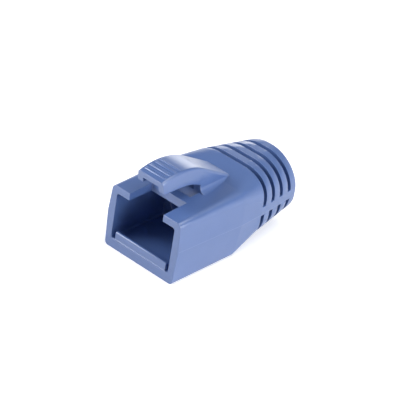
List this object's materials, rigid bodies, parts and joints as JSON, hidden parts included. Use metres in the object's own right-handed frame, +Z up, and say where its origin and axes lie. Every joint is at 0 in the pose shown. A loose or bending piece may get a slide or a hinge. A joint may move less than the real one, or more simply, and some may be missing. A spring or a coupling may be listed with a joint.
{
  "type": "rj45 strain relief boot",
  "caption": "Moulded one-piece boot for a shielded RJ45 plug: open mouth with a snap lip, arched latch guard over a notched roof, and a slotted oval tail that bends with the cable.",
  "frame": {"origin": "middle of the mouth plane, on the flat underside", "axes": "+Y from the mouth towards the cable, +Z up through the latch guard, +X across"},
  "size_m": [0.0154, 0.0284, 0.0164],
  "materials": {
    "boot": "satin moulded"
  },
  "bodies": {
    "root": {"boot": "boot"}
  },
  "joints": []
}
